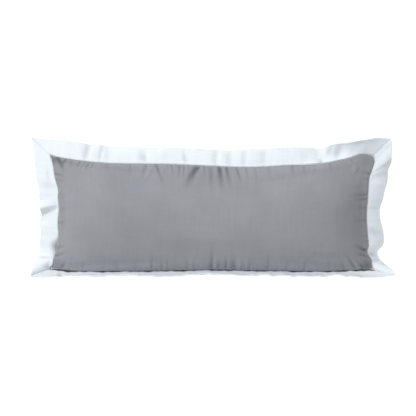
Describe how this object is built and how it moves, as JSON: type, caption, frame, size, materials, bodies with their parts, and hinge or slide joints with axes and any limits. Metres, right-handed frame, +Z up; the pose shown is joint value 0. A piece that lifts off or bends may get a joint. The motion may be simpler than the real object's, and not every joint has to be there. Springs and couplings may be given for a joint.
{
  "type": "lumbar pillow",
  "caption": "Long low filled cushion with a grey front and back and a flat white flange with mitred corners, lying on its back.",
  "frame": {"origin": "under the middle of the whole pillow, on the surface that it lies on", "axes": "+X along the length, to the right of someone who looks at the front; +Y to the upper edge of the front; +Z up, out of the front"},
  "size_m": [0.925, 0.354, 0.1089],
  "materials": {
    "grey_cotton": "plain woven cotton, matt",
    "white_cotton": "plain woven cotton, matt"
  },
  "bodies": {
    "root": {"filled_cushion": "grey_cotton", "flange_upper": "white_cotton", "flange_lower": "white_cotton", "flange_left": "white_cotton", "flange_right": "white_cotton"}
  },
  "joints": []
}
